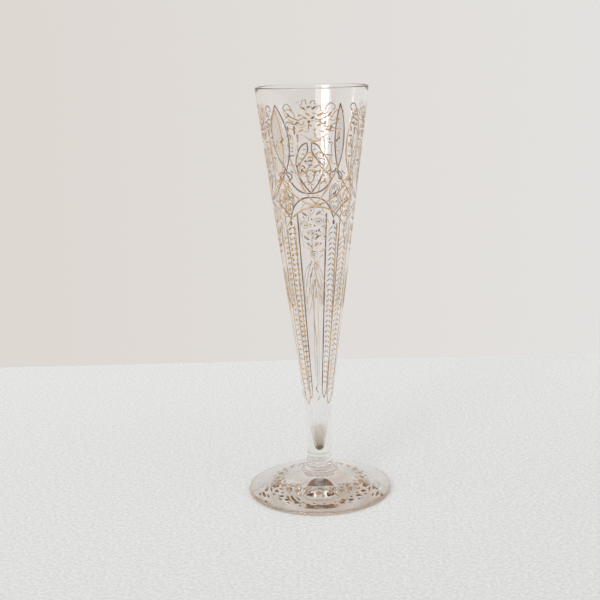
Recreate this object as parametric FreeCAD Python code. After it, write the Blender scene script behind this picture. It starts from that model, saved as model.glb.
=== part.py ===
import FreeCAD, Part
import math
import os

# A gilded champagne flute in clear glass.
# Millimetres, +Z up, origin at the centre of the foot's underside, axis of revolution along Z.
# Azimuths are in degrees, 0 at the front (-Y), growing towards the right (+X).

# ---- driving dimensions: glass ----
overall_height = 200.0
rim_radius = 26.83
bowl_taper = 0.12826        # growth of the outer radius per millimetre of height
rim_thickness = 1.2
cone_bottom_z = 44.0        # where the straight cone turns into the solid shank
shank_top_radius = 6.55     # outer radius a little below the cone
shank_waist_radius = 6.2
bowl_bottom_z = 17.8
bowl_bottom_radius = 5.95
cavity_taper = 0.1353       # growth of the inner radius per millimetre of height
cavity_cone_bottom_z = 25.2
cavity_tip_z = 21.0
collar_bottom_z = 12.2
collar_bottom_radius = 6.9
button_radius = 9.2
button_top_radius = 8.4
button_top_z = 11.5
foot_radius = 35.6
foot_cone_radius = 34.8     # where the sloping top meets the rounded edge
foot_edge_height = 2.05
foot_slope = 0.261          # fall of the top per millimetre of radius
foot_flare_radius = 14.0    # where the slope starts to sweep up to the button
foot_seat_z = 10.0          # level at which the button sits on the foot
foot_seat_radius = 8.6
pontil_radius = 8.2         # shallow polished hollow in the underside
pontil_depth = 0.25

# ---- driving dimensions: gilding ----
gilt = 0.15                 # thickness of the fired gold layer
line = 0.55                 # width of a painted line
fine_line = 0.4
column_azimuths = (-45.0, 47.5, 145.0, 222.0)   # spaced by hand, so not exactly 90 apart
column_half_angle = 14.0
lancet_top_z = 190.5
lancet_bottom_z = 159.0
lancet_half_width = 4.3
lattice_pitch = 1.75
medallion_z = 147.0
medallion_half_width = 3.4
medallion_half_height = 6.4
swag_low_z = 147.2
swag_high_z = 156.5
arch_crown_z = 145.4
arch_foot_z = 136.4
shield_top_z = 171.5
shield_shoulder_z = 160.3
shield_tip_z = 148.3
shield_half_width = 7.2
column_top_z = 136.0
column_bottom_z = 50.0
column_point_z = 46.2
chevron_pitch = 2.6
chevron_reach = 0.62        # share of the half width between the lines
chevron_slope = 0.7
chevron_top_z = 131.0
chevron_bottom_z = 54.0
bead_count = 24
bead_ring_radius = 20.9
bead_radius = 1.32
seed_radius = 0.68
inner_seed_ring_radius = 18.5
outer_seed_ring_radius = 23.2

centre = FreeCAD.Vector(0, 0, 0)
up = FreeCAD.Vector(0, 0, 1)


# ---- helpers: turned glass ----
def at(radius, z):
    """Point of a turned profile."""
    return FreeCAD.Vector(radius, 0, z)


def straight(a, b):
    return Part.makeLine(a, b)


def arc(a, middle, b):
    return Part.Arc(a, middle, b).toShape()


def curve(points):
    """Smooth curve through the given points."""
    spline = Part.BSplineCurve()
    spline.interpolate(points)
    return spline.toShape()


def turned(edges):
    """Solid of revolution of a closed profile about Z."""
    profile = Part.Face(Part.Wire(edges))
    return profile.revolve(centre, up, 360)


def bowl_radius(z):
    """Outer radius of the conical part of the bowl."""
    return rim_radius - bowl_taper * (overall_height - z)


def cavity_radius(z):
    """Inner radius of the conical part of the bowl."""
    return rim_radius - rim_thickness - cavity_taper * (overall_height - z)


def foot_top_z(radius):
    """Height of the straight slope of the foot."""
    return foot_edge_height + foot_slope * (foot_cone_radius - radius)


# ---- glass ----
def bowl():
    """Conical bowl drawn down to a solid shank, with a fire-polished lip."""
    lip_z = overall_height - rim_thickness / 2
    outer_lip = at(bowl_radius(lip_z), lip_z)
    inner_lip = at(cavity_radius(lip_z), lip_z)
    lip_top = at((outer_lip.x + inner_lip.x) / 2, overall_height)
    cone_end = at(bowl_radius(cone_bottom_z), cone_bottom_z)
    base_edge = at(bowl_bottom_radius, bowl_bottom_z)
    cavity_end = at(cavity_radius(cavity_cone_bottom_z), cavity_cone_bottom_z)
    tip = at(0, cavity_tip_z)
    base = at(0, bowl_bottom_z)
    shank = [base_edge, at(shank_waist_radius, 29.0), at(shank_top_radius, 39.5), cone_end]
    cavity_end_curve = [cavity_end, at(1.45, 22.7), at(0.75, 21.3), tip]
    return turned([
        straight(base, base_edge),
        curve(shank),
        straight(cone_end, outer_lip),
        arc(outer_lip, lip_top, inner_lip),
        straight(inner_lip, cavity_end),
        curve(cavity_end_curve),
        straight(tip, base),
    ])


def collar():
    """Solid collar tooled into three rounded rings that widen downwards."""
    return turned([
        straight(at(0, collar_bottom_z), at(collar_bottom_radius, collar_bottom_z)),
        arc(at(collar_bottom_radius, collar_bottom_z), at(7.1, 13.1), at(6.45, 13.9)),
        arc(at(6.45, 13.9), at(6.6, 14.9), at(6.05, 15.7)),
        arc(at(6.05, 15.7), at(6.3, 16.8), at(bowl_bottom_radius, bowl_bottom_z)),
        straight(at(bowl_bottom_radius, bowl_bottom_z), at(0, bowl_bottom_z)),
        straight(at(0, bowl_bottom_z), at(0, collar_bottom_z)),
    ])


def foot_button():
    """Flared pad between the collar and the foot."""
    return turned([
        straight(at(0, foot_seat_z), at(foot_seat_radius, foot_seat_z)),
        arc(at(foot_seat_radius, foot_seat_z), at(button_radius, 10.8), at(button_top_radius, button_top_z)),
        arc(at(button_top_radius, button_top_z), at(7.5, 11.8), at(collar_bottom_radius, collar_bottom_z)),
        straight(at(collar_bottom_radius, collar_bottom_z), at(0, collar_bottom_z)),
        straight(at(0, collar_bottom_z), at(0, foot_seat_z)),
    ])


def foot():
    """Low solid cone that flares up in the middle, with a rounded edge and a pontil hollow underneath."""
    rest_radius = foot_cone_radius - 0.3
    hollow_shoulder = at(pontil_radius * 0.72, pontil_depth * 0.5)
    flare_start = at(foot_flare_radius, foot_top_z(foot_flare_radius))
    seat_edge = at(foot_seat_radius, foot_seat_z)
    flare_middle = (flare_start + seat_edge) / 2 - FreeCAD.Vector(0, 0, 0.25)
    return turned([
        arc(at(0, pontil_depth), hollow_shoulder, at(pontil_radius, 0)),
        straight(at(pontil_radius, 0), at(rest_radius, 0)),
        arc(at(rest_radius, 0), at(foot_radius, 0.95), at(foot_cone_radius, foot_edge_height)),
        straight(at(foot_cone_radius, foot_edge_height), flare_start),
        arc(flare_start, flare_middle, seat_edge),
        straight(seat_edge, at(0, foot_seat_z)),
        straight(at(0, foot_seat_z), at(0, pontil_depth)),
    ])


# ---- helpers: painting in the flat ----
# A motif is drawn in the XZ plane as faces, as seen looking at its own azimuth,
# then carried straight onto the glass along that azimuth.
def spot(x, z):
    return FreeCAD.Vector(x, 0, z)


def side(z, degrees):
    """Sideways distance of a point of the cone that lies this far round from the motif's middle."""
    return bowl_radius(z) * math.sin(math.radians(degrees))


def polygon(points):
    corners = [spot(x, z) for x, z in points]
    return Part.Face(Part.makePolygon(corners + corners[:1]))


def disc(x, z, radius):
    circle = Part.Circle(spot(x, z), FreeCAD.Vector(0, 1, 0), radius)
    return Part.Face(Part.Wire(circle.toShape()))


def ellipse(x, z, half_width, half_height):
    oval = Part.Ellipse(spot(x, z + half_height), spot(x + half_width, z), spot(x, z))
    return Part.Face(Part.Wire(oval.toShape()))


def round_ring(x, z, radius, width):
    return disc(x, z, radius).cut(disc(x, z, radius - width)).Faces[0]


def oval_ring(x, z, half_width, half_height, width):
    outer = ellipse(x, z, half_width, half_height)
    return outer.cut(ellipse(x, z, half_width - width, half_height - width)).Faces[0]


def leaf(root, tip, fullness):
    """Pointed oval from root to tip; fullness is its half width."""
    dx = tip[0] - root[0]
    dz = tip[1] - root[1]
    length = math.hypot(dx, dz)
    middle = ((root[0] + tip[0]) / 2, (root[1] + tip[1]) / 2)
    out = (dz / length * fullness, -dx / length * fullness)
    right = arc(spot(*root), spot(middle[0] + out[0], middle[1] + out[1]), spot(*tip))
    left = arc(spot(*tip), spot(middle[0] - out[0], middle[1] - out[1]), spot(*root))
    return Part.Face(Part.Wire([right, left]))


def ribbon(points, width=line, end_width=None):
    """Band along a smooth line through the points, its width going evenly to end_width."""
    path = Part.BSplineCurve()
    path.interpolate([spot(x, z) for x, z in points])
    first = path.FirstParameter
    last = path.LastParameter
    steps = 2 * (len(points) - 1) if len(points) > 2 else 1
    lefts = []
    rights = []
    for i in range(steps + 1):
        t = i / steps
        place = path.value(first + (last - first) * t)
        heading = path.tangent(first + (last - first) * t)[0]
        half = (width + ((end_width or width) - width) * t) / 2
        out = FreeCAD.Vector(heading.z * half, 0, -heading.x * half)
        rights.append(place + out)
        lefts.append(place - out)
    lefts.reverse()
    return Part.Face(Part.Wire([
        curve(rights),
        straight(rights[-1], lefts[0]),
        curve(lefts),
        straight(lefts[-1], rights[0]),
    ]))


def mirrored(points):
    return [(-x, z) for x, z in points]


def both_sides(points, width=line, end_width=None):
    """A painted line and its mirror image."""
    return [ribbon(points, width, end_width), ribbon(mirrored(points), width, end_width)]


def merged(faces):
    """Strokes that cross or touch become one face."""
    if len(faces) == 1:
        return faces
    return faces[0].multiFuse(faces[1:]).removeSplitter().Faces


# ---- helpers: laying gold on the glass ----
def cone_skin():
    """Thin layer lying on the conical part of the bowl."""
    outwards = gilt * math.hypot(1, bowl_taper)
    low = cone_bottom_z + 0.5
    high = overall_height - 2
    return turned([
        straight(at(bowl_radius(low), low), at(bowl_radius(low) + outwards, low)),
        straight(at(bowl_radius(low) + outwards, low), at(bowl_radius(high) + outwards, high)),
        straight(at(bowl_radius(high) + outwards, high), at(bowl_radius(high), high)),
        straight(at(bowl_radius(high), high), at(bowl_radius(low), low)),
    ])


def foot_skin():
    """Thin layer lying on the sloping top of the foot."""
    inner = foot_flare_radius + 1
    outer = foot_cone_radius - 3
    return turned([
        straight(at(inner, foot_top_z(inner)), at(outer, foot_top_z(outer))),
        straight(at(outer, foot_top_z(outer)), at(outer, foot_top_z(outer) + gilt)),
        straight(at(outer, foot_top_z(outer) + gilt), at(inner, foot_top_z(inner) + gilt)),
        straight(at(inner, foot_top_z(inner) + gilt), at(inner, foot_top_z(inner))),
    ])


bowl_skin = cone_skin()


def gilded(faces, azimuth=0.0):
    """Solids of gold on the bowl, carried from the flat drawing to one azimuth."""
    solids = []
    for face in merged(faces):
        prism = face.extrude(FreeCAD.Vector(0, -overall_height / 4, 0))
        solids.extend(prism.common(bowl_skin).Solids)
    for solid in solids:
        solid.rotate(centre, up, azimuth)
    return solids


def at_azimuths(solids, azimuths):
    """Copies of the same painted motif round the bowl."""
    copies = []
    for azimuth in azimuths:
        for solid in solids:
            copy = solid.copy()
            copy.rotate(centre, up, azimuth)
            copies.append(copy)
    return copies


def panels():
    """Middle azimuth and half angle of each space between neighbouring columns."""
    spaces = []
    for i, start in enumerate(column_azimuths):
        end = column_azimuths[(i + 1) % len(column_azimuths)]
        gap = (end - start) % 360
        spaces.append((start + gap / 2, gap / 2))
    return spaces


panel_azimuths = [middle for middle, half_gap in panels()]


# ---- gilding: lancets above the columns ----
def lancet_outline(inset):
    middle_z = (lancet_top_z + lancet_bottom_z) / 2
    half_height = (lancet_top_z - lancet_bottom_z) / 2 - 2.6 * inset
    return leaf((0, middle_z - half_height), (0, middle_z + half_height), lancet_half_width - inset)


def lancet_leaf():
    middle_z = (lancet_top_z + lancet_bottom_z) / 2
    return leaf((-1.3, middle_z - 1.6), (1.3, middle_z + 1.6), 0.75)


def lancet_frames():
    return gilded([lancet_outline(0).cut(lancet_outline(line)).Faces[0]])


def lancet_lattices():
    """Diagonal crosshatching that fills the lancet."""
    field = lancet_outline(line).cut(lancet_leaf())
    middle_z = (lancet_top_z + lancet_bottom_z) / 2
    reach = lancet_top_z - lancet_bottom_z
    count = int(reach / lattice_pitch)
    strokes = []
    for i in range(-count // 2, count // 2 + 1):
        level = middle_z + i * lattice_pitch
        for lean in (-1, 1):
            start = (-lancet_half_width, level - lean * lancet_half_width)
            end = (lancet_half_width, level + lean * lancet_half_width)
            strokes.append(ribbon([start, end], fine_line * 0.6))
    net = strokes[0].multiFuse(strokes[1:]).removeSplitter()
    return gilded(net.common(field).Faces)


def lancet_leaves():
    return gilded([lancet_leaf()])


def lancet_volutes():
    """Curls either side of the lancet's foot."""
    curl = [(0.9, 158.6), (2.4, 158.9), (3.1, 160.6), (2.3, 162.0), (1.5, 161.3)]
    return gilded(both_sides(curl, line, fine_line))


# ---- gilding: bands between the lancets and the columns ----
def swag(half_gap):
    """Hanging line from one column's middle to the next."""
    points = []
    for i in range(-4, 5):
        t = i / 4
        z = swag_low_z + (swag_high_z - swag_low_z) * t * t
        points.append((side(z, t * (half_gap - 1.2)), z))
    return ribbon(points)


def arch(half_gap):
    """Flat arch below the swag, falling to the columns."""
    points = []
    for i in range(-4, 5):
        t = i / 4
        z = arch_crown_z - (arch_crown_z - arch_foot_z) * abs(t) ** 2.2
        points.append((side(z, t * (half_gap - 1.2)), z))
    return ribbon(points)


def medallion_rings():
    outer = oval_ring(0, medallion_z, medallion_half_width, medallion_half_height, fine_line)
    inset = 2.2 * fine_line
    inner = oval_ring(
        0, medallion_z, medallion_half_width - inset, medallion_half_height - inset, fine_line
    )
    return gilded([outer, inner])


def medallion_rosettes():
    """Four-petalled flower between two small scrolls."""
    petals = []
    for turn in range(4):
        angle = math.radians(45 + 90 * turn)
        root = (0.35 * math.cos(angle), medallion_z + 0.35 * math.sin(angle))
        tip = (1.55 * math.cos(angle), medallion_z + 1.9 * math.sin(angle))
        petals.append(leaf(root, tip, 0.38))
    upper = ribbon([(-1.2, medallion_z + 2.6), (0, medallion_z + 3.5), (1.2, medallion_z + 2.6)], fine_line)
    lower = ribbon([(-1.2, medallion_z - 2.6), (0, medallion_z - 3.5), (1.2, medallion_z - 2.6)], fine_line)
    return gilded(petals + [disc(0, medallion_z, 0.5), upper, lower])


# ---- gilding: panels ----
def shields():
    """Heart-shaped shield: two hatched leaves on top, two sides that meet in a tip below."""
    shoulder = (shield_half_width - 0.5, shield_shoulder_z)
    flank = (shield_half_width * 0.66, shield_shoulder_z - 7.4)
    tip = (0, shield_tip_z)
    faces = both_sides([shoulder, flank, tip])
    for sign in (-1, 1):
        apex = (sign * 2.0, shield_top_z)
        foot = (sign * shoulder[0], shoulder[1])
        faces.append(leaf(foot, apex, 2.1).cut(leaf(foot, apex, 2.1 - line)).Faces[0])
        for t in (0.35, 0.5, 0.65):
            x = apex[0] + (foot[0] - apex[0]) * t
            z = apex[1] + (foot[1] - apex[1]) * t
            faces.append(ribbon([(x - 0.7, z - 0.25), (x + 0.7, z + 0.25)], fine_line))
    return gilded(faces)


def shield_flowers():
    """A flower over a small footed vase inside the shield."""
    flower_z = shield_shoulder_z + 2.0
    petals = []
    for turn in range(5):
        angle = math.radians(90 + 72 * turn)
        root = (0.5 * math.cos(angle), flower_z + 0.5 * math.sin(angle))
        tip = (1.8 * math.cos(angle), flower_z + 1.8 * math.sin(angle))
        petals.append(leaf(root, tip, 0.45))
    vase_z = flower_z - 5.4
    vase = polygon([
        (-0.6, vase_z - 2.0), (0.6, vase_z - 2.0), (0.35, vase_z - 1.0), (1.2, vase_z + 0.6),
        (0.7, vase_z + 2.0), (-0.7, vase_z + 2.0), (-1.2, vase_z + 0.6), (-0.35, vase_z - 1.0),
    ])
    scroll = [(1.6, vase_z - 0.2), (2.6, vase_z + 0.4), (3.0, vase_z + 1.9), (2.1, vase_z + 2.4)]
    return gilded(petals + [disc(0, flower_z, 0.6), vase] + both_sides(scroll, fine_line))


def scrolls():
    """Arabesque of scrolling stems, with a capital and pilaster either side, above the shield."""
    curl = [(7.8, 186.6), (9.8, 188.8), (12.2, 189.9), (13.6, 188.8), (12.6, 187.7)]
    canopy = [(0.5, 185.4), (2.6, 185.6), (4.6, 187.3), (6.3, 187.5)]
    branch = [(3.4, 183.2), (6.2, 182.4), (9.0, 183.6), (11.2, 182.8)]
    festoon = [(0.7, 180.2), (2.8, 180.0), (4.8, 181.0), (6.4, 180.4)]
    crest = [(0.8, 190.4), (2.6, 191.4), (4.8, 190.2), (5.6, 189.0)]
    faces = []
    for path in (curl, canopy, branch, festoon, crest):
        faces.extend(both_sides(path, line, fine_line))
    pilaster = shield_half_width + 0.5
    for sign in (-1, 1):
        faces.append(ribbon([(sign * pilaster, 178.6), (sign * pilaster, 175.8)], 1.0))
        faces.append(ribbon([(sign * pilaster, 175.2), (sign * pilaster, 167.0)], fine_line))
        faces.append(ribbon([(sign * 9.0, 175.2), (sign * 11.4, 175.4)], line))
        faces.append(leaf((sign * 1.4, 187.6), (sign * 3.6, 188.8), 0.5))
        faces.append(leaf((sign * 2.2, 177.6), (sign * 5.4, 178.4), 0.6))
        faces.append(disc(sign * 8.8, 180.4, 0.45))
    faces.append(leaf((-1.9, 175.6), (1.9, 175.6), 0.45))
    faces.append(disc(0, 182.8, 0.5))
    faces.append(disc(0, 188.6, 0.5))
    return gilded(faces)


def bouquets():
    """Spray of three flowers and leaves under the arch."""
    faces = []
    for x, z in ((0, 138.5), (-4.4, 131.5), (4.4, 131.0)):
        faces.append(round_ring(x, z, 1.9, fine_line))
        faces.append(disc(x, z, 0.7))
    for sign in (-1, 1):
        faces.append(leaf((sign * 0.9, 130.4), (sign * 1.7, 134.4), 0.6))
        faces.append(leaf((sign * 2.4, 123.6), (sign * 6.4, 126.4), 0.8))
        faces.append(leaf((sign * 2.6, 135.4), (sign * 5.6, 137.8), 0.7))
    faces.append(ribbon([(0, 119.6), (0.3, 128.0), (0, 136.2)], fine_line))
    faces.extend(both_sides([(0.7, 119.8), (1.9, 124.6), (3.4, 128.6)], fine_line))
    return gilded(faces)


def bouquet_ties():
    return gilded([ribbon([(-1.5, z - 0.5), (1.5, z + 0.5)], fine_line) for z in (116.2, 117.2, 118.2)])


def streamers():
    """Long leaves that droop either side of the stem."""
    faces = []
    for sign in (-1, 1):
        faces.append(ribbon([(sign * 1.2, 114.6), (sign * 4.2, 111.0), (sign * 5.2, 103.0),
                             (sign * 5.0, 92.6)], 1.0, 0.3))
        faces.append(ribbon([(sign * 1.0, 113.0), (sign * 2.6, 109.4), (sign * 3.2, 104.0)], 0.9, 0.3))
    return gilded(faces)


def stems():
    """Double line down the middle of the panel, ending in a small hook."""
    faces = both_sides([(0.55, 112.0), (0.45, 53.0)], fine_line)
    faces.append(ribbon([(0.4, 51.2), (0.5, 49.8), (-0.2, 48.8), (-0.9, 48.2)], line))
    return gilded(faces)


# ---- gilding: columns ----
def column_lines():
    """Two long lines that close in a point at the bottom."""
    angle = column_half_angle
    faces = []
    for sign in (-1, 1):
        top = (sign * side(column_top_z, angle), column_top_z)
        bottom = (sign * side(column_bottom_z, angle), column_bottom_z)
        faces.append(ribbon([top, bottom], line))
        faces.append(ribbon([bottom, (0, column_point_z)], line))
    return gilded(faces)


def chevrons():
    """Ladder of small arrowheads between the lines of a column."""
    count = int((chevron_top_z - chevron_bottom_z) / chevron_pitch)
    faces = []
    for i in range(count + 1):
        z = chevron_top_z - i * chevron_pitch
        reach = chevron_reach * side(z, column_half_angle)
        rise = chevron_slope * reach
        faces.append(polygon([
            (-reach, z - rise), (0, z), (reach, z - rise),
            (reach, z - rise + fine_line), (0, z + fine_line), (-reach, z - rise + fine_line),
        ]))
    return gilded(faces)


def column_drops():
    return gilded([leaf((0, 132.0), (0, 134.6), 0.8)])


# ---- gilding: foot ----
def foot_spots(ring_radius, spot_radius, offset_pitches):
    """Ring of painted spots on the sloping top of the foot."""
    skin = foot_skin()
    place = FreeCAD.Vector(0, -ring_radius, 0)
    spot_on_front = Part.makeCylinder(spot_radius, foot_seat_z, place).common(skin).Solids[0]
    pitch = 360 / bead_count
    first = -2.5 + offset_pitches * pitch
    return at_azimuths([spot_on_front], [first + i * pitch for i in range(bead_count)])


# ---- sub-parts ----
nodes = {
    "bowl": [bowl()],
    "collar": [collar()],
    "foot_button": [foot_button()],
    "foot": [foot()],
    "gilt_lancet_frames": at_azimuths(lancet_frames(), column_azimuths),
    "gilt_lancet_lattices": at_azimuths(lancet_lattices(), column_azimuths),
    "gilt_lancet_leaves": at_azimuths(lancet_leaves(), column_azimuths),
    "gilt_lancet_volutes": at_azimuths(lancet_volutes(), column_azimuths),
    "gilt_swags": [s for azimuth, gap in panels() for s in gilded([swag(gap)], azimuth)],
    "gilt_arches": [s for azimuth, gap in panels() for s in gilded([arch(gap)], azimuth)],
    "gilt_medallion_rings": at_azimuths(medallion_rings(), column_azimuths),
    "gilt_medallion_rosettes": at_azimuths(medallion_rosettes(), column_azimuths),
    "gilt_shields": at_azimuths(shields(), panel_azimuths),
    "gilt_shield_flowers": at_azimuths(shield_flowers(), panel_azimuths),
    "gilt_scrolls": at_azimuths(scrolls(), panel_azimuths),
    "gilt_bouquets": at_azimuths(bouquets(), panel_azimuths),
    "gilt_bouquet_ties": at_azimuths(bouquet_ties(), panel_azimuths),
    "gilt_streamers": at_azimuths(streamers(), panel_azimuths),
    "gilt_stems": at_azimuths(stems(), panel_azimuths),
    "gilt_column_lines": at_azimuths(column_lines(), column_azimuths),
    "gilt_chevrons": at_azimuths(chevrons(), column_azimuths),
    "gilt_column_drops": at_azimuths(column_drops(), column_azimuths),
    "gilt_foot_beads": foot_spots(bead_ring_radius, bead_radius, 0),
    "gilt_inner_seeds": foot_spots(inner_seed_ring_radius, seed_radius, 0.5),
    "gilt_outer_seeds": foot_spots(outer_seed_ring_radius, seed_radius, 0.5),
}

os.makedirs("parts", exist_ok=True)
for name, solids in nodes.items():
    shape = solids[0] if len(solids) == 1 else Part.Compound(solids)
    shape.exportStep("parts/" + name + ".step")
    print(name, len(solids), "solids", round(shape.Volume, 3), "mm3", "valid", shape.isValid())
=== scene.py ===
"""Looks of the gilded champagne flute: one turned glass body, hand-painted gold strokes, plain studio."""
import math
import random

import bpy
import numpy as np
from mathutils import Matrix, Vector


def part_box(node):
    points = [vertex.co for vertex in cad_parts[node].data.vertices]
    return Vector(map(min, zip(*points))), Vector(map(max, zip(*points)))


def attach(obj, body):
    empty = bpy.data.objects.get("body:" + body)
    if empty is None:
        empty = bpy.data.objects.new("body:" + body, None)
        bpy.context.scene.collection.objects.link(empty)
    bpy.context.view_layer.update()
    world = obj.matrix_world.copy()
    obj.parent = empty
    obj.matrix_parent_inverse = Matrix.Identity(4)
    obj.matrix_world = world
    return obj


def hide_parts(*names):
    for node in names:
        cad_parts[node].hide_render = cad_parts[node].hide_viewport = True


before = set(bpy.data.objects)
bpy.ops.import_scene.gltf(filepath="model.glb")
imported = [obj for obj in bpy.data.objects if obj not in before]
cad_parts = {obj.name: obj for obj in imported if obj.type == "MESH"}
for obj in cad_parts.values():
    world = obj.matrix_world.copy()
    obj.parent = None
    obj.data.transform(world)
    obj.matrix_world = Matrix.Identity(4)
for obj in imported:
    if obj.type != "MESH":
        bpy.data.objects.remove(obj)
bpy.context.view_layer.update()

MM = 0.001

# ---- sizes in millimetres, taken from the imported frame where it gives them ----
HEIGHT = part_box("bowl")[1].z / MM
RIM_INSET = 0.08        # the cone of the bowl ends this far inside the widest point of the CAD lip
RIM_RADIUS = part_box("bowl")[1].x / MM - RIM_INSET
FOOT_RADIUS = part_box("foot")[1].x / MM
BOWL_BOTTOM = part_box("bowl")[0].z / MM
COLLAR_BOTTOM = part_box("collar")[0].z / MM
BOWL_TAPER = 0.12826
CAVITY_TAPER = 0.1353
RIM_THICKNESS = 1.2
CAVITY_TIP = 21.0
FOOT_CONE_RADIUS = 34.8
FOOT_EDGE = 2.05
FOOT_SLOPE = 0.261
FOOT_FLARE_RADIUS = 14.0
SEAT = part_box("foot_button")[0].z / MM
SEAT_RADIUS = 8.6
BUTTON_TOP = (8.4, 11.5)
PONTIL_RADIUS = 8.2
PONTIL_DEPTH = 0.25

# the D-shaped brown patch in the pontil hollow: half its width, the y of its straight edge, its reach
# backwards
PATCH_HALF = 6.2
PATCH_FRONT = -7.9
PATCH_DEPTH = 10.0

# ---- sizes of the painting: azimuths in degrees from the front, half a column's angle, and millimetres ----
COLUMNS = (-45.0, 47.5, 145.0, 222.0)
COLUMN_HALF = 14.0
LINE = 0.66
FINE = 0.4
HAIR = 0.085
SHAKY = 0.35        # how far an unsteady line wanders
RELIEF = 0.11       # how far the gold stands proud of the glass
BITE = 0.04         # how far it is sunk into the glass

# material slots of a painted piece
GOLD_SLOT = 0
BACK_SLOT = 1
GHOST_SLOT = 2

random.seed(7)


def bowl_radius(z):
    """Outer radius of the cone of the bowl."""
    return RIM_RADIUS - BOWL_TAPER * (HEIGHT - z)


def cavity_radius(z):
    """Inner radius of the cone of the bowl."""
    return RIM_RADIUS - RIM_THICKNESS - CAVITY_TAPER * (HEIGHT - z)


def foot_top(radius):
    """Height of the straight slope of the foot."""
    return FOOT_EDGE + FOOT_SLOPE * (FOOT_CONE_RADIUS - radius)


# ---- curves ----
def smooth(points, spacing):
    """Points along a Catmull-Rom curve through the given points, about this far apart."""
    pts = np.array(points, float)
    if len(pts) == 2:
        count = max(2, int(np.hypot(*(pts[1] - pts[0])) / spacing) + 1)
        return pts[0] + (pts[1] - pts[0]) * np.linspace(0, 1, count)[:, None]
    ends = np.vstack([2 * pts[0] - pts[1], pts, 2 * pts[-1] - pts[-2]])
    out = []
    for a, b, c, d in zip(ends, ends[1:], ends[2:], ends[3:]):
        count = max(2, int(np.hypot(*(c - b)) / spacing) + 1)
        t = np.linspace(0, 1, count, endpoint=False)[:, None]
        out.append(0.5 * (2 * b + (c - a) * t + (2 * a - 5 * b + 4 * c - d) * t ** 2
                          + (3 * b - a - 3 * c + d) * t ** 3))
    return np.vstack(out + [pts[-1:]])


def arc(a, middle, b, count=14):
    """Points on the circle through three points."""
    (ax, ay), (bx, by), (cx, cy) = a, middle, b
    d = 2 * (ax * (by - cy) + bx * (cy - ay) + cx * (ay - by))
    a2, b2, c2 = ax * ax + ay * ay, bx * bx + by * by, cx * cx + cy * cy
    ox = (a2 * (by - cy) + b2 * (cy - ay) + c2 * (ay - by)) / d
    oy = (a2 * (cx - bx) + b2 * (ax - cx) + c2 * (bx - ax)) / d
    radius = math.hypot(ax - ox, ay - oy)
    start = math.atan2(ay - oy, ax - ox)
    via = (math.atan2(by - oy, bx - ox) - start) % (2 * math.pi)
    end = (math.atan2(cy - oy, cx - ox) - start) % (2 * math.pi)
    if via > end:
        end -= 2 * math.pi
    return [(ox + radius * math.cos(start + end * i / count),
             oy + radius * math.sin(start + end * i / count)) for i in range(count + 1)]


# ---- meshes ----
def new_object(name, verts, faces, materials, slots=None):
    mesh = bpy.data.meshes.new(name)
    mesh.from_pydata(verts, [], faces)
    for material in materials:
        mesh.materials.append(material)
    if slots is not None:
        mesh.polygons.foreach_set("material_index", slots)
    mesh.polygons.foreach_set("use_smooth", [True] * len(faces))
    mesh.update()
    obj = bpy.data.objects.new(name, mesh)
    bpy.context.scene.collection.objects.link(obj)
    return obj


def lathe(name, profile, segments, material):
    """Closed solid of revolution; the profile starts and ends on the axis."""
    inner = profile[1:-1]
    verts = [(0, 0, profile[0][1] * MM)]
    for r, z in inner:
        for k in range(segments):
            angle = 2 * math.pi * k / segments
            verts.append((r * MM * math.sin(angle), -r * MM * math.cos(angle), z * MM))
    verts.append((0, 0, profile[-1][1] * MM))
    last = len(verts) - 1
    faces = []
    for k in range(segments):
        following = (k + 1) % segments
        faces.append((0, 1 + following, 1 + k))
        for ring in range(len(inner) - 1):
            low = 1 + ring * segments
            high = low + segments
            faces.append((low + k, low + following, high + following, high + k))
        top = 1 + (len(inner) - 1) * segments
        faces.append((last, top + k, top + following))
    return new_object(name, verts, faces, [material])


# ---- materials ----
def principled(name):
    """New material with its nodes, links and shader."""
    material = bpy.data.materials.new(name)
    material.use_nodes = True
    nodes = material.node_tree.nodes
    return material, nodes, material.node_tree.links, nodes["Principled BSDF"]


def noise(nodes, links, scale, detail=3.0, stretch=(1, 1, 1)):
    """Object-space noise; stretch widens it along an axis."""
    coords = nodes.new("ShaderNodeTexCoord")
    mapping = nodes.new("ShaderNodeMapping")
    mapping.inputs["Scale"].default_value = stretch
    texture = nodes.new("ShaderNodeTexNoise")
    texture.inputs["Scale"].default_value = scale
    texture.inputs["Detail"].default_value = detail
    links.new(coords.outputs["Object"], mapping.inputs["Vector"])
    links.new(mapping.outputs["Vector"], texture.inputs["Vector"])
    return texture


def ramp(nodes, links, source, stops):
    node = nodes.new("ShaderNodeValToRGB")
    elements = node.color_ramp.elements
    while len(elements) < len(stops):
        elements.new(0.5)
    for element, (position, colour) in zip(elements, stops):
        element.position = position
        element.color = colour if len(colour) == 4 else (*colour, 1)
    links.new(source, node.inputs["Fac"])
    return node


def bump(nodes, links, height, shader, strength, distance):
    node = nodes.new("ShaderNodeBump")
    node.inputs["Strength"].default_value = strength
    node.inputs["Distance"].default_value = distance
    links.new(height, node.inputs["Height"])
    links.new(node.outputs["Normal"], shader.inputs["Normal"])


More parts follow.
